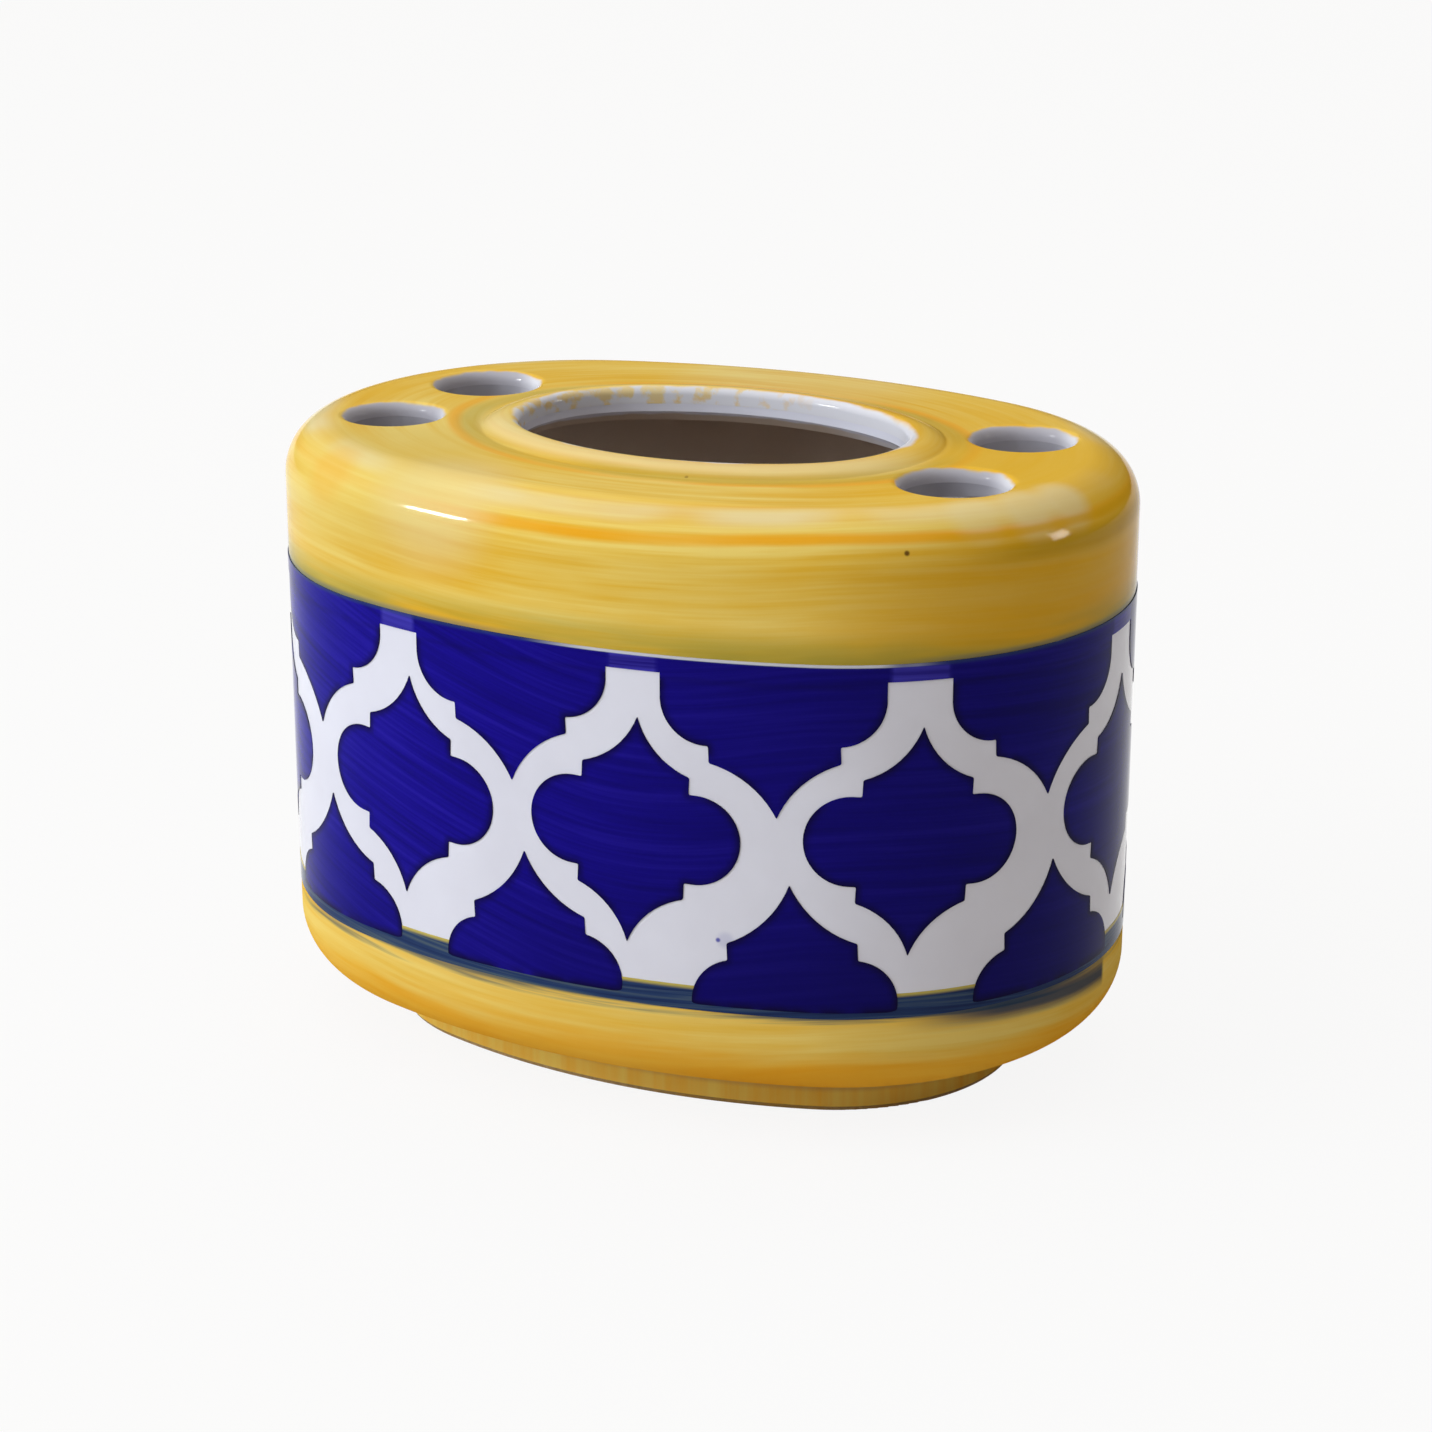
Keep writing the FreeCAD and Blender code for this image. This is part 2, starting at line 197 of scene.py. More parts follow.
def draw_section(front, start, *strokes):
    """Draws a section behind an outline's front point, as distance out from it and height.
    A stroke is a point to go to, or an arc's centre, its turn in degrees and its steps."""
    def at(point):
        return (front[0] * mm, (front[1] - point[0]) * mm, point[1] * mm)

    bpy.ops.mesh.select_mode(type="VERT")
    bpy.ops.mesh.primitive_plane_add(size=mm)
    bpy.ops.mesh.merge(type="CENTER")
    bpy.ops.transform.translate(value=at(start))
    out, high = start
    for stroke in strokes:
        if len(stroke) == 2:
            step = (0, (out - stroke[0]) * mm, (stroke[1] - high) * mm)
            bpy.ops.mesh.extrude_region_move(TRANSFORM_OT_translate={"value": step})
            out, high = stroke
        else:
            centre, degrees, steps = stroke
            turn = math.radians(degrees)
            bpy.ops.mesh.spin(steps=steps, angle=turn, center=at(centre), axis=(1, 0, 0))
            arm, rise = out - centre[0], high - centre[1]
            out = centre[0] + arm * math.cos(turn) - rise * math.sin(turn)
            high = centre[1] + arm * math.sin(turn) + rise * math.cos(turn)


def sweep_section(turns, spacing=wall_spacing):
    """Leads the section that was just drawn round the arcs, and closes the seam."""
    bpy.ops.mesh.select_linked()
    for centre, radius, turn in turns:
        steps = math.ceil(radius * turn / spacing)
        middle = (centre[0] * mm, centre[1] * mm, 0)
        bpy.ops.mesh.spin(steps=steps, angle=turn, center=middle, axis=(0, 0, -1))
    bpy.ops.mesh.select_linked()
    bpy.ops.mesh.remove_doubles(threshold=seam_slack * mm)


def pick_open_edges(level, slack=level_slack):
    """Selects the open edges at a height."""
    bpy.ops.mesh.select_mode(type="EDGE")
    bpy.ops.mesh.select_all(action="DESELECT")
    shape = bmesh.from_edit_mesh(bpy.context.object.data)
    for edge in shape.edges:
        at_level = all(abs(corner.co.z - level * mm) < slack * mm for corner in edge.verts)
        edge.select_set(at_level and edge.is_boundary)
    bmesh.update_edit_mesh(bpy.context.object.data)


def finish_coat(piece, inside_out, thickness=coat, one_sided=False):
    """Turns the faces to the visible side, gives the coat its thickness and smooths it."""
    bpy.ops.mesh.select_all(action="SELECT")
    if not one_sided:
        bpy.ops.mesh.normals_make_consistent(inside=False)
    shape = bmesh.from_edit_mesh(piece.data)
    outmost = max(shape.faces, key=lambda face: abs(face.calc_center_median().x))
    faces_out = outmost.normal.x * outmost.calc_center_median().x > 0
    if faces_out == inside_out:
        bpy.ops.mesh.flip_normals()
    bpy.ops.object.mode_set(mode="OBJECT")
    body = piece.modifiers.new("coat", "SOLIDIFY")
    body.thickness = thickness * mm
    body.offset = -1.0
    bpy.ops.object.modifier_apply(modifier=body.name)
    bpy.ops.object.shade_smooth_by_angle(angle=math.radians(smooth_below))


body_turns = oval_turns(body_half_length, body_half_width, body_end_radius)
body_front = (0.0, -body_half_width)
mouth_turns = oval_turns(mouth_half_length, mouth_half_width, mouth_end_radius, mouth_middle)
mouth_front = (mouth_middle[0], mouth_middle[1] - mouth_half_width)

liner_wall = -4.9
liner_floor = 9.28
liner_ceiling = 85.2
mouth_edge = 86.85
floor_round = 6.65
ceiling_round = 2.65
floor_lead = 1.0
ceiling_lead = 0.5
mouth_sleeve_top = deck_height - 0.8
hole_sleeve_top = deck_height - 1.9
floor_edge = liner_wall - floor_round
ceiling_edge = liner_wall - ceiling_round
liner = new_piece("white_liner")
draw_section(
    body_front,
    (floor_edge - floor_lead, liner_floor),
    (floor_edge, liner_floor),
    ((floor_edge, liner_floor + floor_round), 90, 10),
    (liner_wall, liner_ceiling - ceiling_round),
    ((ceiling_edge, liner_ceiling - ceiling_round), 90, 6),
    (ceiling_edge - ceiling_lead, liner_ceiling),
)
sweep_section(body_turns)
pick_open_edges(liner_floor)
bpy.ops.mesh.fill()
draw_section(
    mouth_front,
    (lip_tuck + mouth_edge - liner_ceiling, liner_ceiling),
    (lip_tuck, mouth_edge),
    (lip_tuck, mouth_sleeve_top),
)
sweep_section(mouth_turns, mouth_spacing)
for x, y, radius in brush_holes:
    draw_section((x, y - radius), (lip_tuck, liner_ceiling), (lip_tuck, hole_sleeve_top))
    sweep_section([((x, y), radius, 2 * math.pi)], hole_spacing)
pick_open_edges(liner_ceiling)
bpy.ops.mesh.fill()
finish_coat(liner, inside_out=True)


def new_group(name, inputs, outputs):
    """A shader node group with named sockets, and its inner ends."""
    group = bpy.data.node_groups.new(name, "ShaderNodeTree")
    for socket, kind in inputs.items():
        group.interface.new_socket(name=socket, in_out="INPUT", socket_type="NodeSocket" + kind)
    for socket, kind in outputs.items():
        group.interface.new_socket(name=socket, in_out="OUTPUT", socket_type="NodeSocket" + kind)
    return group, put(group, "NodeGroupInput").outputs, put(group, "NodeGroupOutput").inputs


def plus(tree, first, second):
    return reckon(tree, "ADD", first, second)


# Ripple: the slow unevenness of a dipped glaze, with a faint orange peel on it.
ripple_group, inside, ripple_out = new_group(
    "glaze_ripple", {"Vector": "Vector", "Peel": "Float"}, {"Height": "Float"}
)
slow = cloud(ripple_group, inside["Vector"], 95.0, 1.0)
peel = times(ripple_group, cloud(ripple_group, inside["Vector"], 700.0, 2.0), inside["Peel"])
ripple_group.links.new(plus(ripple_group, slow, peel), ripple_out["Height"])

# Specks: rare pinholes and iron dots that come up through a fired glaze.
speck_group, inside, speck_out = new_group(
    "fired_specks", {"Vector": "Vector", "Spacing": "Float"}, {"Mask": "Float"}
)
grid = put(speck_group, "ShaderNodeTexVoronoi", {"Vector": inside["Vector"], "Scale": inside["Spacing"]})
dot = fade(speck_group, grid.outputs["Distance"], 0.035, 0.015)
pick = put(speck_group, "ShaderNodeSeparateColor", {"Color": grid.outputs["Color"]}).outputs["Red"]
rare = reckon(speck_group, "GREATER_THAN", pick, 0.7)
speck_group.links.new(times(speck_group, dot, rare), speck_out["Mask"])


def ripple(tree, shader, where, peel, strength):
    """Gives a glaze its uneven surface."""
    waves = put(tree, "ShaderNodeGroup", node_tree=ripple_group)
    tree.links.new(where, waves.inputs["Vector"])
    waves.inputs["Peel"].default_value = peel
    raised = {"Height": waves.outputs["Height"], "Strength": strength, "Distance": 0.0004}
    bump = put(tree, "ShaderNodeBump", raised)
    tree.links.new(bump.outputs["Normal"], shader.inputs["Normal"])


def specks(tree, where, spacing):
    dots = put(tree, "ShaderNodeGroup", node_tree=speck_group)
    tree.links.new(where, dots.inputs["Vector"])
    dots.inputs["Spacing"].default_value = spacing
    return dots.outputs["Mask"]


def split(tree, vector):
    return put(tree, "ShaderNodeSeparateXYZ", {"Vector": vector}).outputs


def ramp(tree, length, none_at, full_at):
    """A mask that rises between two lengths in millimetres."""
    return fade(tree, length, none_at * mm, full_at * mm)


def spread(tree, noise, size):
    """A shift to either side by a noise, over a size in millimetres."""
    return times(tree, reckon(tree, "SUBTRACT", noise, 0.5), size * mm)


cool_white, thick_white, pale_speck = (0.74, 0.735, 0.82), (0.80, 0.80, 0.89), (0.25, 0.18, 0.14)


def milk_white(tree, where):
    """White glaze that is a little thicker in places, with a few faint specks."""
    white = shades(tree, cloud(tree, where, 60.0, 3.0), (0.3, cool_white), (0.7, thick_white))
    return tint(tree, specks(tree, where, 110.0), white, pale_speck, 0.35)


def lit_side(tree, side):
    """A mask for the right side of each hole, which is painted lighter where light falls on it."""
    middle = times(tree, reckon(tree, "SIGN", side), brush_holes[0][0] * mm)
    return ramp(tree, reckon(tree, "SUBTRACT", side, middle), 1.5, 6.5)


inside_shade_brown, inside_shade_tan, inside_lit_pale = (0.58, 0.46, 0.35), (0.68, 0.56, 0.45), (0.90, 0.89, 0.95)
bore_shade_dark, bore_shade_light, bore_lit = (0.31, 0.30, 0.335), (0.44, 0.43, 0.475), (0.78, 0.77, 0.83)
hole_shadow_brown = (0.11, 0.085, 0.07)

# The inside is painted brown for shade, with a ragged edge under the rim of the mouth; the painted shade
# fades to pale towards the right, where light falls inside.
liner_white, tree, shader, where = new_finish("liner_white", roughness=0.12, specular=0.25)
axes = split(tree, where)
# Painted shade for the inside: brown, turning pale towards the right where light falls.
wash = shades(tree, cloud(tree, where, 45.0, 3.0), (0.3, inside_shade_brown), (0.7, inside_shade_tan))
wash = tint(tree, ramp(tree, axes["X"], 8.0, 26.0), wash, inside_lit_pale)
# The hole walls are painted grey for shade, and lighter on their right sides where light falls.
bore = shades(tree, cloud(tree, where, 120.0, 2.0), (0.3, bore_shade_dark), (0.7, bore_shade_light))
bore = tint(tree, lit_side(tree, axes["X"]), bore, bore_lit)
in_hole = ramp(tree, reckon(tree, "ABSOLUTE", axes["X"]), 32.5, 33.5)
white = tint(tree, in_hole, milk_white(tree, where), bore)
# A darker painted shadow under the holes, where they look into the inside.
under_hole = times(tree, in_hole, ramp(tree, axes["Z"], 80.0, 84.5))
wash = tint(tree, under_hole, wash, hole_shadow_brown)
# The ragged edge of the painted shade under the rim, set a little lower in the holes.
shade_edge = plus(tree, spread(tree, cloud(tree, where, 160.0), 1.2), times(tree, in_hole, 1.1 * mm))
white = tint(tree, ramp(tree, plus(tree, axes["Z"], shade_edge), 86.6, 86.1), white, wash)
tree.links.new(white, shader.inputs["Base Color"])
ripple(tree, shader, where, 0.05, 0.12)
wear(liner, liner_white)
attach(liner, "root")
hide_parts("white_liner_glaze")


# Yellow shoulder: glaze brushed over the deck, the collar round the mouth, the hole edges,
# the rounded shoulder and the top of the wall. One coat, so its sections join in one mesh:
# the shoulder swept round the body, the collar round the mouth, a lip for each hole, and the deck between.
upper_edge = 70.1
shoulder_round = 7.4
hole_round = 1.5
collar_crest = 1.3
collar_lip = 1.2
collar_foot = 5.3
collar_fillet = 0.8
edge_loop = 1.0
shoulder_loop = 0.5
deck_lead = 0.1
deck_slack = 0.05
collar_lead = 0.15
mouth_lip_low = deck_height - 1.2
hole_lip_low = deck_height - 2.0
collar_round = ((collar_foot - collar_lip) ** 2 + collar_crest**2) / (2 * collar_crest)
collar_low = deck_height + collar_crest - collar_round
fillet_rise = collar_round + collar_fillet - collar_crest
fillet_run = math.sqrt((collar_round + collar_fillet) ** 2 - fillet_rise**2)
collar_turn = math.degrees(math.atan2(fillet_run, fillet_rise))
collar_edge = collar_lip + fillet_run

shoulder = new_piece("yellow_shoulder")
draw_section(
    body_front,
    (0.0, upper_edge),
    (0.0, upper_edge + edge_loop),
    (0.0, deck_height - shoulder_round - shoulder_loop),
    (0.0, deck_height - shoulder_round),
    ((-shoulder_round, deck_height - shoulder_round), 90, 20),
    (-shoulder_round - deck_lead, deck_height),
)
sweep_section(body_turns)
draw_section(
    mouth_front,
    (collar_edge + collar_lead, deck_height),
    (collar_edge, deck_height),
    ((collar_edge, deck_height + collar_fillet), -collar_turn, 6),
    ((collar_lip, collar_low), collar_turn, 10),
    ((collar_lip, deck_height + collar_crest - collar_lip), 90, 8),
    (0.0, mouth_lip_low),
)
sweep_section(mouth_turns, mouth_spacing)
for x, y, radius in brush_holes:
    draw_section(
        (x, y - radius),
        (hole_round + deck_lead, deck_height),
        (hole_round, deck_height),
        ((hole_round, deck_height - hole_round), 90, 8),
        (0.0, hole_lip_low),
    )
    sweep_section([((x, y), radius, 2 * math.pi)], hole_spacing)
pick_open_edges(deck_height, deck_slack)
bpy.ops.mesh.fill()
finish_coat(shoulder, inside_out=False)


def ring_of(tree, x, y):
    """The distance from the middle that two ways across give."""
    return reckon(tree, "SQRT", plus(tree, times(tree, x, x), times(tree, y, y)))


# Strokes: fine bristle lines and broad washes that run round the body, over the deck and down the wall.
stroke_group, inside, stroke_out = new_group(
    "brush_strokes",
    {"Vector": "Vector", "Bristle": "Float", "Wash": "Float"},
    {"Fine": "Float", "Broad": "Float", "Down": "Float"},
)
axes = split(stroke_group, inside["Vector"])
across = times(stroke_group, axes["X"], body_half_width / body_half_length)
down = reckon(stroke_group, "SUBTRACT", ring_of(stroke_group, across, axes["Y"]), axes["Z"])
for width, lengthwise, socket in (("Bristle", 24.0, "Fine"), ("Wash", 20.0, "Broad")):
    along = {
        "X": times(stroke_group, axes["X"], lengthwise),
        "Y": times(stroke_group, axes["Y"], lengthwise),
        "Z": times(stroke_group, down, inside[width]),
    }
    along = put(stroke_group, "ShaderNodeCombineXYZ", along).outputs[0]
    stroke_group.links.new(cloud(stroke_group, along, 1.0, 3.0, 0.6), stroke_out[socket])
stroke_group.links.new(down, stroke_out["Down"])


def strokes(tree, where, bristle, wash):
    """Fine and broad stroke masks, and the way from the deck's middle down the wall."""
    brushed = put(tree, "ShaderNodeGroup", node_tree=stroke_group)
    tree.links.new(where, brushed.inputs["Vector"])
    brushed.inputs["Bristle"].default_value = bristle
    brushed.inputs["Wash"].default_value = wash
    return brushed.outputs


def paint_load(tree, brushed, fine_share):
    """How much paint the fine and the broad strokes leave together."""
    fine = times(tree, brushed["Fine"], fine_share)
    return plus(tree, fine, times(tree, brushed["Broad"], 1.0 - fine_share))


def band(tree, length, middle, half):
    """A soft band round a length, in millimetres."""
    off = reckon(tree, "ABSOLUTE", reckon(tree, "SUBTRACT", length, middle * mm))
    return ramp(tree, off, half, half * 0.15)


def far_from(tree, where, place):
    """The distance from a place that is given in millimetres."""
    ends = {0: where, 1: [value * mm for value in place]}
    return put(tree, "ShaderNodeVectorMath", ends, operation="DISTANCE").outputs["Value"]


def dab(tree, where, place, reach):
    """A soft round dab at a place, in millimetres."""
    return ramp(tree, far_from(tree, where, place), reach, reach * 0.35)


deep_amber, amber, straw = (0.80, 0.45, 0.030), (0.84, 0.56, 0.095), (0.88, 0.66, 0.17)
honey, deck_gold, wall_shade_brown = (0.72, 0.37, 0.008), (0.84, 0.50, 0.03), (0.70, 0.36, 0.005)
cream, orange, olive = (0.82, 0.71, 0.40), (0.88, 0.40, 0.012), (0.36, 0.29, 0.035)
hole_amber, dull_straw, pin_black = (0.80, 0.46, 0.012), (0.66, 0.52, 0.15), (0.10, 0.04, 0.01)
line_brown, shade_brown = (0.74, 0.40, 0.008), (0.46, 0.27, 0.008)
edge_green, iron_speck = (0.10, 0.15, 0.15), (0.16, 0.08, 0.02)
lip_white, hole_shade_grey = (0.76, 0.755, 0.80), (0.48, 0.465, 0.51)
lip_bare, lip_soft = 0.75, 0.3

# The strokes vary from amber to straw, and the glaze is heavier on the deck. Painted shade deepens the yellow
# towards the right, more so lower down the wall.
yellow_glaze, tree, shader, where = new_finish("yellow_glaze", roughness=0.09, specular=0.04)
brushed = strokes(tree, where, bristle=850.0, wash=150.0)
load = paint_load(tree, brushed, 0.40)
axes = split(tree, where)
patches = cloud(tree, where, 38.0, 2.0)
yellow = shades(tree, load, (0.38, deep_amber), (0.50, amber), (0.62, straw))
rightward_shade = times(tree, ramp(tree, axes["X"], 10.0, 60.0), ramp(tree, axes["Z"], 92.0, 60.0))
yellow = tint(tree, rightward_shade, yellow, honey, 0.85)
on_deck = times(tree, ramp(tree, axes["Z"], 88.0, 89.0), fade(tree, patches, 0.65, 0.40))
yellow = tint(tree, on_deck, yellow, deck_gold, 0.5)
# Painted shade on the right shoulder below the deck.
right_wall_shade = times(tree, ramp(tree, axes["X"], 30.0, 56.0), ramp(tree, axes["Z"], 88.0, 84.0))
yellow = tint(tree, right_wall_shade, yellow, wall_shade_brown, 0.45)
pale_deck = times(tree, band(tree, brushed["Down"], -46.2, 3.6), fade(tree, patches, 0.35, 0.6))
yellow = tint(tree, pale_deck, yellow, cream, 0.75)

# An orange line runs along the shoulder and another round the collar, with painted shade in the groove round
# the collar and painted light on the collar's crest at the front.
wobble = spread(tree, cloud(tree, where, 30.0), 2.5)
wavy = plus(tree, brushed["Down"], wobble)
broken = fade(tree, cloud(tree, where, 22.0, 1.0), 0.25, 0.45)
rightward = {
    "Value": axes["X"],
    "From Min": -30.0 * mm,
    "From Max": 2.0 * mm,
    "To Min": 0.25,
    "To Max": 0.92,
}
rightward = put(tree, "ShaderNodeMapRange", rightward).outputs[0]
yellow = tint(tree, times(tree, band(tree, wavy, -41.2, 1.7), broken), yellow, orange, rightward)
mouth_x = reckon(tree, "SUBTRACT", axes["X"], mouth_middle[0] * mm)
mouth_x = times(tree, mouth_x, mouth_half_width / mouth_half_length)
mouth_y = reckon(tree, "SUBTRACT", axes["Y"], mouth_middle[1] * mm)
from_mouth = reckon(tree, "SUBTRACT", ring_of(tree, mouth_x, mouth_y), mouth_half_width * mm)
broken = fade(tree, cloud(tree, where, 27.0, 1.0), 0.33, 0.50)
collar_line = times(tree, band(tree, plus(tree, from_mouth, wobble), 7.5, 1.2), broken)
yellow = tint(tree, collar_line, yellow, orange, 0.7)
crest_light = times(tree, band(tree, from_mouth, 2.8, 2.8), ramp(tree, axes["Y"], 0.0, -15.0))
yellow = tint(tree, crest_light, yellow, cream, 0.55)
groove_shade = times(tree, band(tree, from_mouth, 5.6, 2.2), fade(tree, patches, 0.3, 0.6))
yellow = tint(tree, groove_shade, yellow, olive, 0.45)

# Single dabs and a pinhole that the photograph shows, then the marks at the right shoulder.
for place, reach, colour, strength in (
    ((52.0, 2.0, 89.2), 24.0, hole_amber, 0.6),
    ((0.0, 36.0, 89.2), 26.0, cream, 0.25),
    ((57.6, -10.5, 87.6), 5.5, cream, 0.6),
    ((54.9, -17.0, 87.9), 6.0, cream, 0.6),
    ((50.3, -23.5, 88.0), 5.5, cream, 0.4),
    ((-40.7, -34.8, 86.6), 6.5, orange, 0.45),
    ((-20.0, -40.5, 87.0), 14.0, cream, 0.4),
    ((-36.0, -33.0, 87.0), 24.0, dull_straw, 0.35),
    ((44.9, -33.4, 84.8), 0.5, pin_black, 0.9),
):
    yellow = tint(tree, dab(tree, where, place, reach), yellow, colour, strength)
right_line = times(tree, band(tree, wavy, -40.8, 1.2), ramp(tree, axes["X"], 45.0, 53.0))
yellow = tint(tree, right_line, yellow, line_brown, 0.7)
right_shade = times(tree, band(tree, wavy, -37.4, 2.4), ramp(tree, axes["X"], 50.0, 59.0))
yellow = tint(tree, right_shade, yellow, shade_brown, 0.55)

# The lowest edge is thin and dull, and takes some blue at the ends.
low_wash = times(tree, ramp(tree, axes["Z"], 75.2, 70.4), fade(tree, brushed["Broad"], 0.25, 0.58))
yellow = tint(tree, low_wash, yellow, olive, 0.85)
ends = reckon(tree, "MAXIMUM", ramp(tree, axes["X"], 5.0, -20.0), ramp(tree, axes["X"], 40.0, 55.0))
yellow = tint(tree, times(tree, ramp(tree, axes["Z"], 71.1, 70.3), ends), yellow, edge_green, 0.6)
yellow = tint(tree, specks(tree, where, 95.0), yellow, iron_speck, 0.5)

# The rim of the mouth and the edges of the holes were left white, with some yellow smudges.
lip_edge = spread(tree, cloud(tree, where, 110.0, 3.0), 2.2)
bare_lip = ramp(tree, plus(tree, from_mouth, lip_edge), 1.2, 0.5)
smudge = fade(tree, cloud(tree, where, 420.0, 4.0), 0.50, 0.64)
smudge = times(tree, smudge, ramp(tree, axes["X"], 12.0, -4.0), 0.7)
bare_lip = times(tree, bare_lip, reckon(tree, "SUBTRACT", 1.0, smudge))
yellow = tint(tree, bare_lip, yellow, lip_white)
flat = put(tree, "ShaderNodeCombineXYZ", {"X": axes["X"], "Y": axes["Y"]}).outputs[0]
ragged = spread(tree, cloud(tree, where, 200.0, 2.0), 1.5)
bare_hole = 0.0
for x, y, radius in brush_holes:
    off = plus(tree, far_from(tree, flat, (x, y, 0.0)), ragged)
    bare = ramp(tree, off, radius + lip_bare + lip_soft, radius + lip_bare - lip_soft)
    bare_hole = reckon(tree, "MAXIMUM", bare_hole, bare)
# The white hole edges are painted grey for shade, and lighter on their right sides where light falls.
hole_lip_lit_and_shaded = tint(tree, lit_side(tree, axes["X"]), hole_shade_grey, lip_white)
yellow = tint(tree, bare_hole, yellow, hole_lip_lit_and_shaded)
tree.links.new(yellow, shader.inputs["Base Color"])
ripple(tree, shader, where, 0.06, 0.16)
wear(shoulder, yellow_glaze)
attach(shoulder, "root")
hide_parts("yellow_shoulder_glaze")


# White band: the bare white ground between the two yellows, which shows as the trellis.
# It is the same white glaze as inside, poured over the upright wall before the painting.
lower_edge = 20.4
stray_blue = (0.05, 0.05, 0.40)
ground = new_piece("white_band")
draw_section(body_front, (0.0, lower_edge), (0.0, (lower_edge + upper_edge) / 2), (0.0, upper_edge))
sweep_section(body_turns)
finish_coat(ground, inside_out=False)
white_glaze, tree, shader, where = new_finish("white_glaze", roughness=0.08, specular=0.22)
white = milk_white(tree, where)
for place, reach, strength in (((22.6, -42.8, 30.86), 0.45, 0.9), ((23.6, -42.6, 30.9), 1.6, 0.2)):
    white = tint(tree, dab(tree, where, place, reach), white, stray_blue, strength)
tree.links.new(white, shader.inputs["Base Color"])
ripple(tree, shader, where, 0.05, 0.12)
wear(ground, white_glaze)
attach(ground, "root")
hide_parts("white_band_glaze")


# Yellow base: glaze brushed from the lower line down over the heel to the foot.
# It is thin and pale under the line, pools amber on the heel, and is rubbed brown on the foot.
heel_round = 9.0
heel_slope = 22.5
heel_height = 16.22
foot_out = -14.5
foot_top = 4.2
foot_bare = 0.9
crease_round = 0.8
heel_loop = 0.5
slope = math.radians(heel_slope)
crease_out = foot_out + crease_round
crease_high = foot_top + crease_round * (math.tan(slope) - 1 / math.cos(slope))
base = new_piece("yellow_base")
draw_section(
    body_front,
    (0.0, lower_edge),
    (0.0, heel_height + heel_loop),
    (0.0, heel_height),
    ((-heel_round, heel_height), heel_slope - 90, 16),
    (crease_out - crease_round * math.sin(slope), crease_high + crease_round * math.cos(slope)),
    ((crease_out, crease_high), 90 - heel_slope, 6),
    (foot_out, foot_bare),
)
sweep_section(body_turns)
finish_coat(base, inside_out=False)

thin_gold, thin_straw = (0.82, 0.48, 0.05), (0.87, 0.63, 0.16)
pooled_orange, pooled_amber = (0.88, 0.41, 0.025), (0.92, 0.53, 0.06)
rubbed_brown, rubbed_straw, crease_brown = (0.97, 0.58, 0.085), (0.98, 0.73, 0.16), (0.55, 0.27, 0.13)
teal, stroke_blue = (0.05, 0.085, 0.11), (0.010, 0.040, 0.10)

base_glaze, tree, shader, where = new_finish("base_glaze", roughness=0.25, specular=0.0)
brushed = strokes(tree, where, bristle=700.0, wash=190.0)
load = paint_load(tree, brushed, 0.55)
axes = split(tree, where)
thin = shades(tree, load, (0.38, thin_gold), (0.62, thin_straw))
pooled = shades(tree, load, (0.38, pooled_orange), (0.62, pooled_amber))
sink = plus(tree, axes["Z"], spread(tree, brushed["Broad"], 12.0))
yellow = tint(tree, ramp(tree, sink, 18.0, 11.0), thin, pooled)
upright = {"X": axes["X"], "Y": axes["Y"], "Z": times(tree, axes["Z"], 0.05)}
upright = put(tree, "ShaderNodeCombineXYZ", upright).outputs[0]
rubbed = shades(tree, cloud(tree, upright, 420.0, 3.0), (0.35, rubbed_brown), (0.65, rubbed_straw))
yellow = tint(tree, ramp(tree, axes["Z"], 4.8, 4.0), yellow, rubbed)
yellow = tint(tree, band(tree, axes["Z"], 4.0, 1.2), yellow, crease_brown, 0.45)

# Blue was dragged down from the line, and at the right a stroke of it ends bluntly.
drag = plus(tree, axes["Z"], spread(tree, brushed["Fine"], 6.0))
yellow = tint(tree, ramp(tree, drag, 19.2, 20.7), yellow, teal, 0.8)
sagging = plus(tree, axes["Z"], times(tree, axes["Y"], 0.07))
sagging = plus(tree, sagging, spread(tree, brushed["Fine"], 2.0))
blunt_end = times(tree, ramp(tree, axes["X"], 44.0, 56.0), ramp(tree, axes["Y"], -0.8, -1.8))
yellow = tint(tree, times(tree, band(tree, sagging, 18.0, 2.7), blunt_end), yellow, stroke_blue, 0.9)
tree.links.new(yellow, shader.inputs["Base Color"])
ripple(tree, shader, where, 0.06, 0.16)
wear(base, base_glaze)
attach(base, "root")
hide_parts("yellow_base_glaze")


# Blue lines: two cobalt lines brushed round the wall, which close the white band above and below.
# The upper one is thin enough to show lighter over the white.
# The lower one runs over wet yellow and turns teal.
line_film = 0.12
lower_film = line_film * 0.5
line_spacing = 0.4
upper_line_low = 67.7
lower_line_high = 23.9
upper_line = new_piece("blue_upper_line")
draw_section(body_front, (line_film, upper_line_low), (line_film, upper_edge))
sweep_section(body_turns, line_spacing)
finish_coat(upper_line, inside_out=False, thickness=line_film)
lower_line = new_piece("blue_lower_line")
draw_section(body_front, (lower_film, lower_edge), (lower_film, lower_line_high))
sweep_section(body_turns)
finish_coat(lower_line, inside_out=False, thickness=lower_film)

ink_blue, cobalt_blue, pale_cobalt = (0.004, 0.0006, 0.16), (0.007, 0.002, 0.26), (0.018, 0.009, 0.37)
night_blue = (0.003, 0.001, 0.08)
line_dark, line_pale = (0.014, 0.008, 0.20), (0.050, 0.040, 0.42)
edge_ink, gap_white = (0.03, 0.06, 0.09), (0.70, 0.70, 0.74)
slate, slate_blue, slate_green = (0.008, 0.012, 0.06), (0.02, 0.045, 0.13), (0.10, 0.14, 0.14)
wet_yellow = (0.55, 0.45, 0.10)


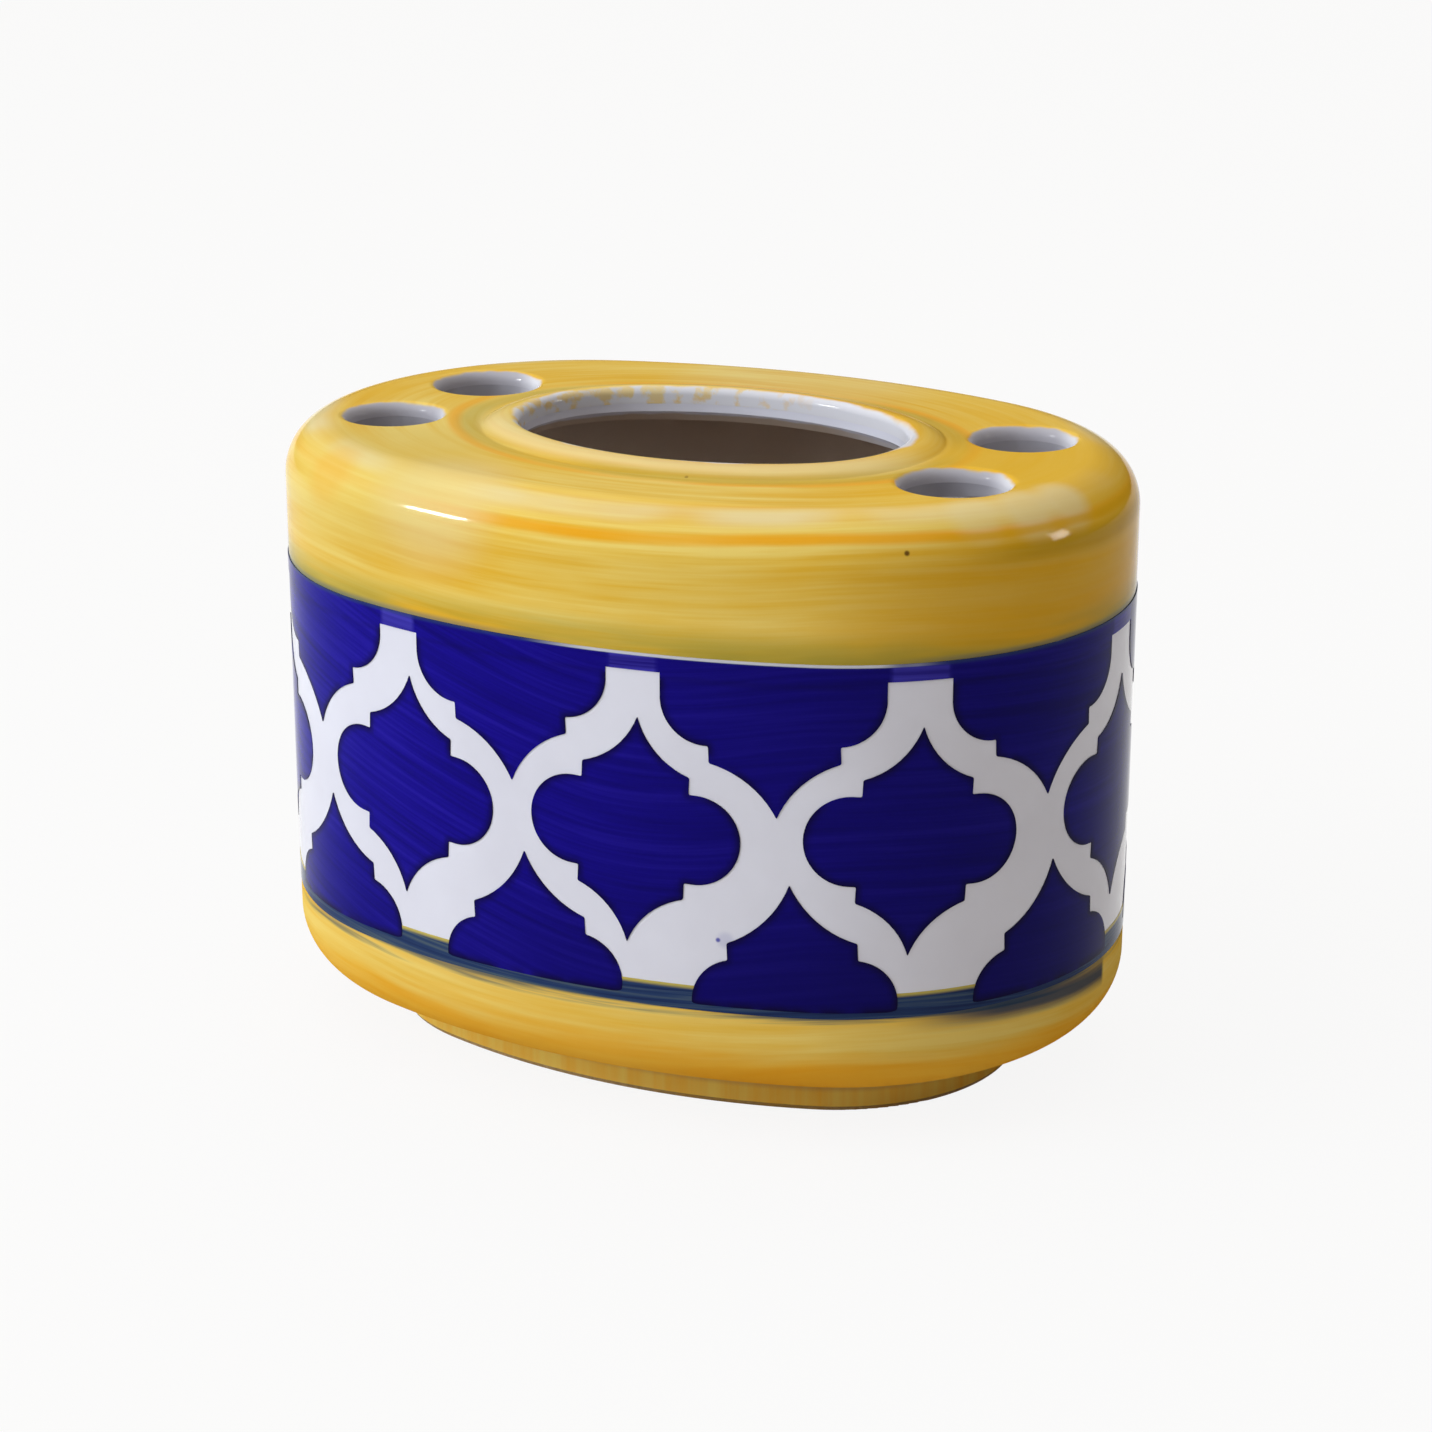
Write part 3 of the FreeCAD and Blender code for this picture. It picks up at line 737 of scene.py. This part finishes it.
def cobalt(tree, where):
    """Cobalt in overlapping strokes that slant at the left, with painted shade that darkens it towards the
    right end; it is also darker towards the bottom.
    """
    axes = split(tree, where)
    slant = times(tree, axes["X"], ramp(tree, axes["X"], 35.0, -10.0), 0.25)
    slanted = {"X": axes["X"], "Y": axes["Y"], "Z": plus(tree, axes["Z"], slant)}
    slanted = put(tree, "ShaderNodeCombineXYZ", slanted).outputs[0]
    load = paint_load(tree, strokes(tree, slanted, bristle=900.0, wash=260.0), 0.6)
    blue = shades(tree, load, (0.34, ink_blue), (0.50, cobalt_blue), (0.70, pale_cobalt))
    right_shade_and_low = times(tree, ramp(tree, axes["X"], -30.0, 42.0), 0.55)
    right_shade_and_low = plus(tree, right_shade_and_low, times(tree, ramp(tree, axes["Z"], 42.0, 24.0), 0.25))
    return tint(tree, right_shade_and_low, blue, night_blue)


# The cells show through the upper line, and at the front a thin white gap is left above it.
upper_blue, tree, shader, where = new_finish("upper_line_blue", roughness=0.09, specular=0.04)
load = paint_load(tree, strokes(tree, where, bristle=1500.0, wash=300.0), 0.6)
axes = split(tree, where)
blue = shades(tree, load, (0.35, line_dark), (0.65, line_pale))
crossing = put(tree, "ShaderNodeAttribute", attribute_name="crossing").outputs["Fac"]
blue = tint(tree, crossing, blue, cobalt(tree, where))
blue = tint(tree, ramp(tree, axes["Z"], 69.4, 70.1), blue, edge_ink, 0.6)
gap = times(
    tree,
    ramp(tree, axes["Z"], 69.65, 69.80),
    ramp(tree, axes["X"], -6.0, 6.0),
    ramp(tree, axes["X"], 50.0, 42.0),
    ramp(tree, axes["Y"], 0.0, -10.0),
    fade(tree, cloud(tree, where, 60.0), 0.30, 0.45),
)
blue = tint(tree, gap, blue, gap_white, 0.85)
tree.links.new(blue, shader.inputs["Base Color"])
ripple(tree, shader, where, 0.05, 0.10)
wear(upper_line, upper_blue)
lower_blue, tree, shader, where = new_finish("lower_line_blue", roughness=0.10, specular=0.04)
load = paint_load(tree, strokes(tree, where, bristle=1500.0, wash=260.0), 0.6)
axes = split(tree, where)
blue = shades(tree, load, (0.34, slate), (0.5, slate_blue), (0.66, slate_green))
blue = tint(tree, ramp(tree, axes["Z"], 23.2, 23.8), blue, wet_yellow)
tree.links.new(blue, shader.inputs["Base Color"])
ripple(tree, shader, where, 0.05, 0.10)
wear(lower_line, lower_blue)
for line, node in ((upper_line, "blue_top_line"), (lower_line, "blue_bottom_line")):
    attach(line, "root")
    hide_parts(node)


# Blue cells: the pointed, lobed cells of the trellis, in three rows of like cells.
# Cobalt is dabbed through a stencil that is moved round the wall by hand, so the spacing wanders.
# A cell is drawn flat, copied along its row, trimmed at the lines and then wrapped round the wall.
cell_film = 0.10
lobe_round = 6.3
cell_step = 2.35
tip_hollow = 1.3
corner_soft = 0.22
cut_soft = 6 * corner_soft
sharp_below = 150
cell_grid = 0.6
tip_steps = 10
lobe_steps = 16
trim_slack = 0.001
mirror_slack = 0.01
outline_slack = 0.05
pool_width = 1.1
rim_parts = 4
crossing_reach = 0.8
crossing_soft = 0.5
path_resolution = 48
path_lead = body_turns[-1][1] * body_turns[-1][2]


def soften_corners(cell, low, high, offset):
    """Rounds the outline's sharp corners between two heights, as wet paint does."""
    bpy.ops.mesh.select_mode(type="VERT")
    bpy.ops.mesh.select_all(action="DESELECT")
    shape = bmesh.from_edit_mesh(cell.data)
    for corner in shape.verts:
        arms = [edge.other_vert(corner).co - corner.co for edge in corner.link_edges]
        sharp = len(arms) == 2 and arms[0].angle(arms[1]) < math.radians(sharp_below)
        corner.select_set(sharp and low * mm <= corner.co.z <= high * mm)
    bmesh.update_edit_mesh(cell.data)
    bpy.ops.mesh.bevel(offset=offset * mm, segments=3, affect="VERTICES")


def trim_cells(level, up):
    """Cuts off what is above a level, or below it."""
    bpy.ops.mesh.select_all(action="SELECT")
    bpy.ops.mesh.bisect(
        plane_co=(0, 0, level * mm), plane_no=(0, 0, up), clear_outer=True, threshold=trim_slack * mm
    )


def stencil_cell(name, half_width, notch, half_height, lean, cut=None, straight=0.0):
    """One flat cell in the XZ plane with its middle at the origin, divided so that it can bend."""
    cell = new_piece(name)
    step_top = lobe_round + cell_step
    fall = half_height - step_top
    chord = math.hypot(notch, fall)
    hollow = (chord**2 / 4 + tip_hollow**2) / (2 * tip_hollow)
    reach = (hollow - tip_hollow) / chord
    lobe = half_width - lobe_round
    lobe_start = math.acos(max(0.0, notch - lobe) / lobe_round)
    strokes_down = [
        (
            (notch / 2 + reach * fall, (half_height + step_top) / 2 + reach * notch),
            2 * math.degrees(math.asin(chord / 2 / hollow)),
            tip_steps,
        ),
        (notch, lobe_round * math.sin(lobe_start)),
        (max(lobe, notch), lobe_round * math.sin(lobe_start)),
        ((lobe, 0.0), -math.degrees(lobe_start), lobe_steps),
    ]
    draw_section((0.0, 0.0), (0.0, half_height), *strokes_down)
    bpy.ops.object.mode_set(mode="OBJECT")
    bpy.ops.transform.rotate(value=math.pi / 2, orient_axis="Z", center_override=(0, 0, 0))
    bpy.ops.object.transform_apply()
    quarters = cell.modifiers.new("quarters", "MIRROR")
    quarters.use_axis = (True, False, True)
    quarters.merge_threshold = mirror_slack * mm
    bpy.ops.object.modifier_apply(modifier=quarters.name)
    bpy.ops.transform.rotate(value=-math.radians(lean), orient_axis="Y", center_override=(0, 0, 0))
    bpy.ops.object.transform_apply()
    bpy.ops.object.mode_set(mode="EDIT")
    bpy.ops.mesh.select_mode(type="VERT")
    bpy.ops.mesh.select_all(action="SELECT")
    bpy.ops.mesh.remove_doubles(threshold=outline_slack * mm)
    bpy.ops.mesh.edge_face_add()
    if straight:
        trim_cells(0.0, 1)
        pick_open_edges(0.0)
        bpy.ops.mesh.extrude_region_move(TRANSFORM_OT_translate={"value": (0, 0, straight * mm)})
        bpy.ops.mesh.select_all(action="SELECT")
        bpy.ops.mesh.normals_make_consistent(inside=False)
    if cut is not None:
        trim_cells(cut, -1)
        soften_corners(cell, cut - level_slack, cut + level_slack, cut_soft)
    soften_corners(cell, -half_height, half_height, corner_soft)
    for axis, span in ((0, half_width), (2, half_height)):
        for line in range(-math.ceil(span / cell_grid), math.ceil(span / cell_grid) + 1):
            cut_at, cut_across = [0.0, 0.0, 0.0], [0.0, 0.0, 0.0]
            cut_at[axis], cut_across[axis] = (line + 0.5) * cell_grid * mm, 1.0
            bpy.ops.mesh.select_all(action="SELECT")
            bpy.ops.mesh.bisect(plane_co=cut_at, plane_no=cut_across)
    return cell


def lay_row(places, height):
    """Copies the cell to its places along the row, as the way round the wall and the slip in height."""
    far, high = -path_lead, 0.0
    bpy.ops.mesh.select_all(action="SELECT")
    bpy.ops.transform.translate(value=(0, -cell_film * mm, 0))
    for number, (along, slip) in enumerate(places):
        move = ((along - far) * mm, 0, (height + slip - high) * mm)
        if number == 0:
            bpy.ops.transform.translate(value=move)
        else:
            bpy.ops.mesh.duplicate_move(TRANSFORM_OT_translate={"value": move})
        far, high = along, height + slip


def pool_paint(cell):
    """Marks how near each point is to the rim, where the wet paint gathers."""
    shape = bmesh.from_edit_mesh(cell.data)
    rim = [edge for edge in shape.edges if edge.is_boundary]
    tree = KDTree(len(rim) * rim_parts)
    for number, edge in enumerate(rim):
        first, last = edge.verts
        for part in range(rim_parts):
            tree.insert(first.co.lerp(last.co, part / rim_parts), number * rim_parts + part)
    tree.balance()
    pool = shape.verts.layers.float.new("pool")
    for corner in shape.verts:
        corner[pool] = max(0.0, 1.0 - tree.find(corner.co)[2] / (pool_width * mm))
    bmesh.update_edit_mesh(cell.data)


def wall_path():
    """A curve along the wall, from the front's left corner once round to the front's right corner."""
    arcs = [body_turns[-1], *body_turns]
    pieces = (1, 1, 4, 2, 4, 1)
    bpy.ops.object.select_all(action="DESELECT")
    bpy.ops.curve.primitive_bezier_curve_add(radius=mm)
    path = bpy.context.object
    bpy.ops.object.mode_set(mode="EDIT")
    bpy.ops.curve.select_all(action="SELECT")
    bpy.ops.curve.subdivide(number_cuts=sum(pieces) - 1)
    bpy.ops.object.mode_set(mode="OBJECT")
    path.data.resolution_u = path_resolution
    knots = path.data.splines[0].bezier_points
    for knot in knots:
        knot.handle_left_type = knot.handle_right_type = "FREE"
    angle = -math.pi / 2 - arcs[0][2]
    number = 0
    for ((x, y), radius, turn), count in zip(arcs, pieces):
        arm = 4 / 3 * math.tan(turn / count / 4) * radius * mm
        for step in range(count + 1):
            way = angle + turn * step / count
            knot = knots[number + step]
            knot.co = ((x + radius * math.cos(way)) * mm, (y + radius * math.sin(way)) * mm, 0)
            ahead = Vector((-math.sin(way), math.cos(way), 0)) * arm
            if step < count:
                knot.handle_right = knot.co + ahead
            if step:
                knot.handle_left = knot.co - ahead
        angle += turn
        number += count
    return path


def wrap_row(cell, path):
    """Bends the flat row round the wall and gives the paint its thickness."""
    pool_paint(cell)
    bpy.ops.object.mode_set(mode="OBJECT")
    bend = cell.modifiers.new("wrap", "CURVE")
    bend.object = path
    bend.deform_axis = "POS_X"
    bpy.ops.object.modifier_apply(modifier=bend.name)
    bpy.ops.object.mode_set(mode="EDIT")
    finish_coat(cell, inside_out=False, thickness=cell_film, one_sided=True)


def mark_crossings(line, cells):
    """Marks where the line runs over the cut tops of the cells, which show through it."""
    corners = cells.data.vertices
    tops = [[corners[end].co for end in edge.vertices] for edge in cells.data.edges]
    tops = [ends for ends in tops if min(end.z for end in ends) > (upper_line_low - level_slack) * mm]
    tree = KDTree(len(tops) * rim_parts)
    for number, (first, last) in enumerate(tops):
        for part in range(rim_parts):
            top = first.lerp(last, part / rim_parts)
            tree.insert((top.x, top.y, 0), number * rim_parts + part)
    tree.balance()
    crossing = line.data.attributes.new("crossing", "FLOAT", "POINT")
    for corner, mark in zip(line.data.vertices, crossing.data):
        off = tree.find((corner.co.x, corner.co.y, 0))[2] / mm
        mark.value = min(1.0, max(0.0, (crossing_reach - off) / crossing_soft))


path = wall_path()
middle_row = (10.8, 49.1, 88.0, 127.1, 166.2, 205.3, 244.4, 283.5, 321.7)
upper_row = (-7.9, 29.9, 68.9, 107.7, 146.6, 185.4, 224.2, 263.1, 302.0)
lower_row = (-4.7, 33.1, 71.8, 110.8, 149.8, 188.7, 227.7, 266.7, 305.8)
upper_slips = (0.4, -0.6, -0.4, 0.1, -0.3, 0.3, 0.0, 0.3, 0.6)
lower_slips = (0.2, -0.2, -0.3, 0.1, 0.3, -0.2, 0.0, 0.2, 0.4)
middle_slips = (0.0, 0.1, -0.2, 0.2, -0.1, 0.3, 0.0, -0.3, 0.1)
cell_low = 21.5
middle_height = 45.2
upper_height = 65.4
lower_height = 22.45

middle_cells = stencil_cell("blue_middle_row", half_width=15.0, notch=7.6, half_height=16.1, lean=3.0)
lay_row(zip(middle_row, middle_slips), middle_height)
wrap_row(middle_cells, path)
upper_cells = stencil_cell(
    "blue_upper_row", half_width=15.1, notch=8.8, half_height=16.2, lean=-2.5, straight=4.0
)
lay_row(zip(upper_row, upper_slips), upper_height)
trim_cells(upper_line_low, 1)
wrap_row(upper_cells, path)
lower_cut = cell_low - lower_height
lower_cells = stencil_cell(
    "blue_lower_row", half_width=13.95, notch=8.8, half_height=17.2, lean=-2.5, cut=lower_cut
)
lay_row(zip(lower_row, lower_slips), lower_height)
wrap_row(lower_cells, path)
bpy.data.objects.remove(path)
mark_crossings(upper_line, upper_cells)

pool_ink = (0.003, 0.0008, 0.022)
cell_blue, tree, shader, where = new_finish("cell_blue", roughness=0.08, specular=0.04)
pool = put(tree, "ShaderNodeAttribute", attribute_name="pool").outputs["Fac"]
pool = times(tree, pool, ramp(tree, split(tree, where)["Z"], 67.6, 66.6))
ragged = times(tree, pool, fade(tree, cloud(tree, where, 170.0, 2.0), 0.25, 0.50))
blue = tint(tree, ragged, cobalt(tree, where), pool_ink, 0.9)
tree.links.new(blue, shader.inputs["Base Color"])
ripple(tree, shader, where, 0.05, 0.10)
for row, node in (
    (middle_cells, "blue_middle_cells"),
    (upper_cells, "blue_upper_cells"),
    (lower_cells, "blue_lower_cells"),
):
    wear(row, cell_blue)
    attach(row, "root")
    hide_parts(node)


# Stage: a pale floor that reads as white and keeps the holder's shadow, and a camera as in the photograph.
# A large soft light at the left lights the holder. A narrow window light at the left and a small lamp
# at the right only give the glaze its highlights.
floor_white = 1.0
floor_own_light = 0.9
floor_grey = (0.66, 0.64, 0.61)
floor_size = 8.0
horizon, zenith = (0.08, 0.07, 0.06), (1.3, 1.26, 1.2)
bpy.ops.object.select_all(action="DESELECT")
bpy.ops.mesh.primitive_plane_add(size=floor_size)
floor = bpy.context.object
floor.name = "floor"
floor_paint, tree, shader, where = new_finish("floor_paint", roughness=0.9, specular=0.0)
shader.inputs["Base Color"].default_value = (*floor_grey, 1.0)
rays = put(tree, "ShaderNodeLightPath").outputs
seen = plus(tree, rays["Is Camera Ray"], rays["Is Glossy Ray"])
seen = reckon(tree, "ADD", seen, rays["Is Transmission Ray"], clamp=True)
glow = put(tree, "ShaderNodeEmission", {"Color": (1.0, 1.0, 1.0, 1.0), "Strength": floor_white})
share = times(tree, seen, floor_own_light)
both = put(tree, "ShaderNodeMixShader", {0: share, 1: shader.outputs[0], 2: glow.outputs[0]})
tree.links.new(both.outputs[0], tree.nodes["Material Output"].inputs["Surface"])
wear(floor, floor_paint)

world = bpy.data.worlds.new("room")
world.use_nodes = True
sky = world.node_tree
toward = put(sky, "ShaderNodeTexCoord").outputs["Generated"]
axes = split(sky, toward)
leftward = {"Value": axes["X"], "From Min": 0.75, "From Max": -0.2, "To Min": 0.3, "To Max": 1.0}
leftward = put(sky, "ShaderNodeMapRange", leftward).outputs[0]
overhead = times(sky, fade(sky, axes["Z"], 0.05, 0.95), leftward)
room = sky.nodes["Background"].inputs
sky.links.new(tint(sky, overhead, horizon, zenith), room["Color"])
bpy.context.scene.world = world
bpy.context.scene.view_settings.view_transform = "Standard"

aim = Vector((0.0, 0.0, 0.045))


def hang_lamp(name, toward, distance, width, height, watts, colour, lights=True, glints=True):
    """A rectangular lamp that hangs in a direction from the holder and faces it."""
    lamp = bpy.data.lights.new(name, "AREA")
    lamp.shape = "RECTANGLE"
    lamp.size = width
    lamp.size_y = height
    lamp.energy = watts
    lamp.color = colour
    hung = bpy.data.objects.new(name, lamp)
    bpy.context.scene.collection.objects.link(hung)
    away = Vector(toward).normalized()
    hung.location = aim + away * distance
    hung.rotation_euler = away.to_track_quat("Z", "Y").to_euler()
    hung.visible_diffuse = lights
    hung.visible_glossy = glints


hang_lamp(
    "soft_light",
    toward=(-0.66, -0.62, 0.43),
    distance=1.2,
    width=0.8,
    height=0.8,
    watts=9.5,
    colour=(0.82, 0.90, 1.0),
    glints=False,
)
hang_lamp(
    "window_light",
    toward=(-0.726, -0.565, 0.39),
    distance=1.2,
    width=0.22,
    height=0.065,
    watts=28.0,
    colour=(1.0, 1.0, 1.0),
    lights=False,
)
hang_lamp(
    "right_light",
    toward=(0.88, 0.39, 0.27),
    distance=1.0,
    width=0.14,
    height=0.18,
    watts=4.0,
    colour=(1.0, 0.95, 0.88),
    lights=False,
)

camera_turn = math.radians(25.83)
camera_rise = math.radians(18.58)
camera_far = 0.50134
photo_width = 1432
photo_focus = 3444.86
photo_shift = (10.68, 8.21)
lens = bpy.data.cameras.new("camera")
lens.sensor_width = 36.0
lens.lens = photo_focus * lens.sensor_width / photo_width
lens.shift_x = photo_shift[0] / photo_width
lens.shift_y = photo_shift[1] / photo_width
lens.clip_start = 0.01
camera = bpy.data.objects.new("camera", lens)
bpy.context.scene.collection.objects.link(camera)
back = Vector((
    math.sin(camera_turn) * math.cos(camera_rise),
    -math.cos(camera_turn) * math.cos(camera_rise),
    math.sin(camera_rise),
))
camera.location = aim + back * camera_far
camera.rotation_euler = (math.pi / 2 - camera_rise, 0.0, camera_turn)
bpy.context.scene.camera = camera
